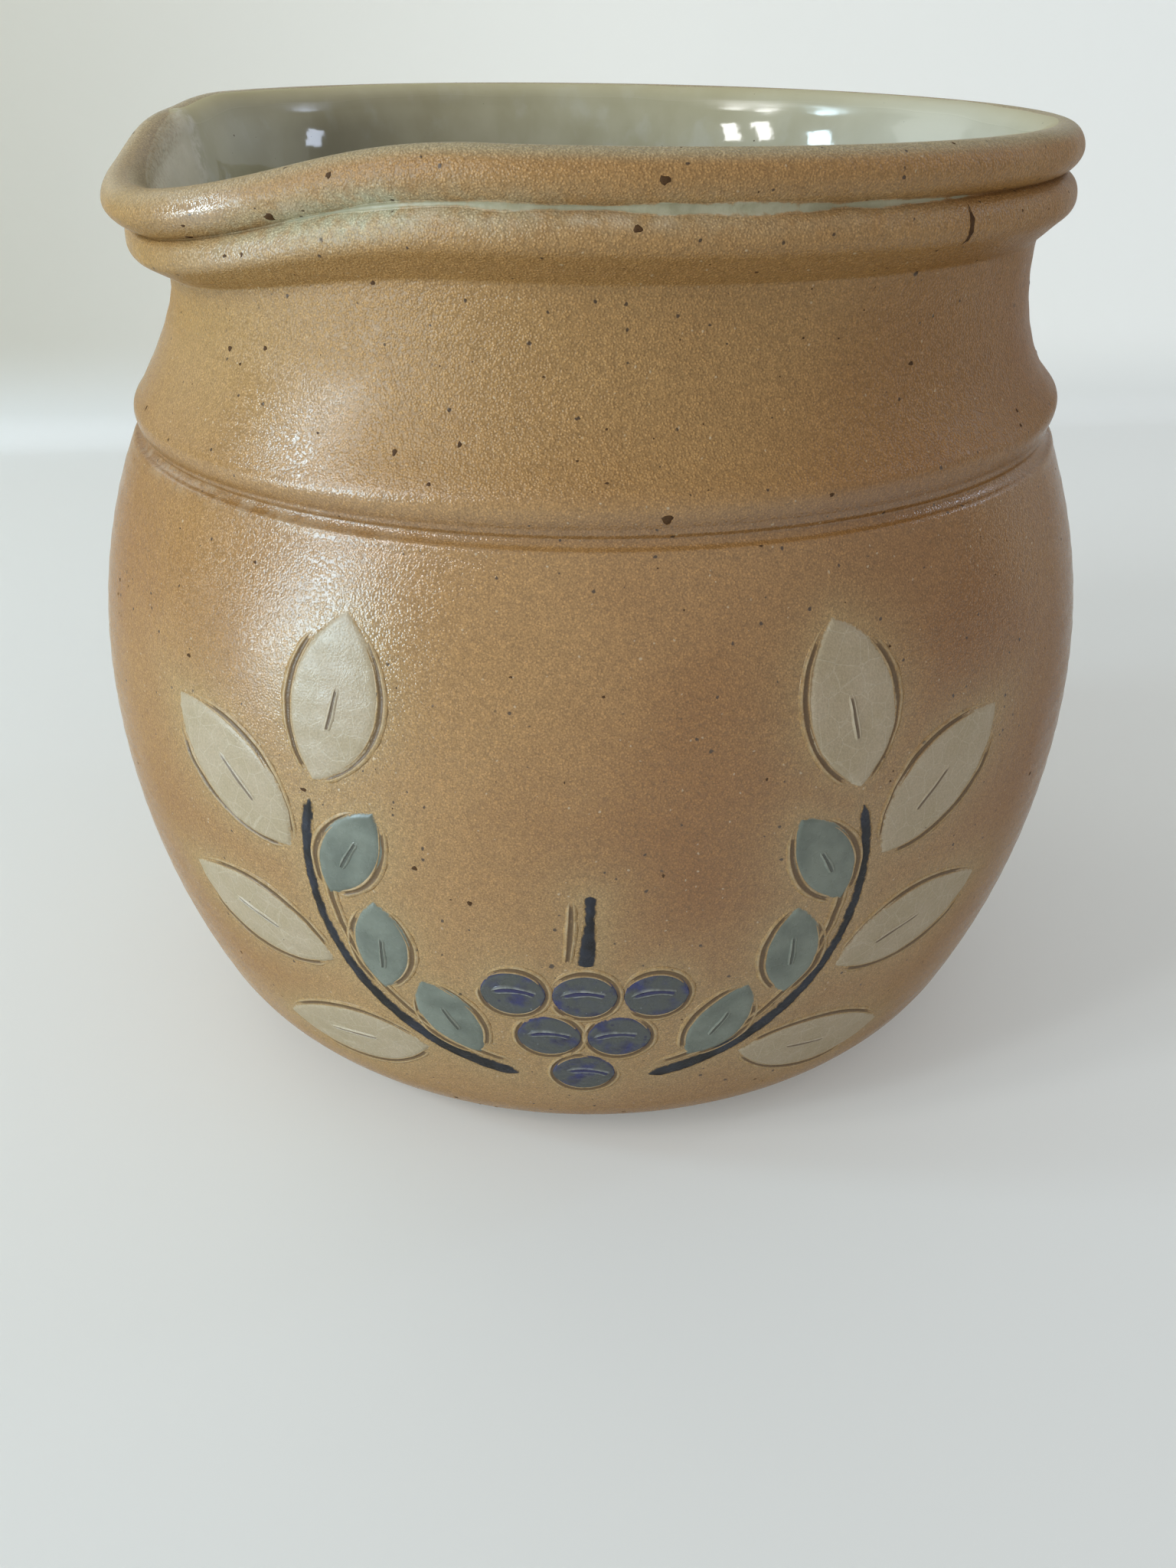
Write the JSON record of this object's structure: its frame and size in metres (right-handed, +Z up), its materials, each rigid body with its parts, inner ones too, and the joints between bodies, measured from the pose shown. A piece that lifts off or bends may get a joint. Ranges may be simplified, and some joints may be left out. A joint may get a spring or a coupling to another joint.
{
  "type": "stoneware pitcher",
  "caption": "Wide-mouthed stoneware pitcher without a handle: round belly, ridged shoulder, double-beaded rim with a pulled spout, glazed inside, slip sprig on the front.",
  "frame": {"origin": "centre of the flat base, on the pot's axis", "axes": "+Z up along the pot's axis, the decorated front towards -Y, the spout towards -X and turned 27 degrees to the front"},
  "size_m": [0.15, 0.1504, 0.1337],
  "materials": {
    "stoneware": "salt-glazed, satin, orange-peel, with iron specks",
    "liner_glaze": "gloss grey-green glaze",
    "pooled_glaze": "grey-green glaze pooled in the groove",
    "iron_slip": "dark brown-black brushed slip",
    "cream_slip": "cream slip with fine crackle",
    "celadon_slip": "grey-green slip",
    "cobalt_slip": "cobalt blue slip, glossy and speckled"
  },
  "bodies": {
    "root": {"stoneware_body": "stoneware", "liner_glaze": "liner_glaze", "groove_glaze": "pooled_glaze", "left_stem": "iron_slip", "right_stem": "iron_slip", "bunch_stalk": "iron_slip", "left_cream_leaves": "cream_slip", "right_cream_leaves": "cream_slip", "left_celadon_leaves": "celadon_slip", "right_celadon_leaves": "celadon_slip", "cobalt_berries": "cobalt_slip"}
  },
  "joints": []
}
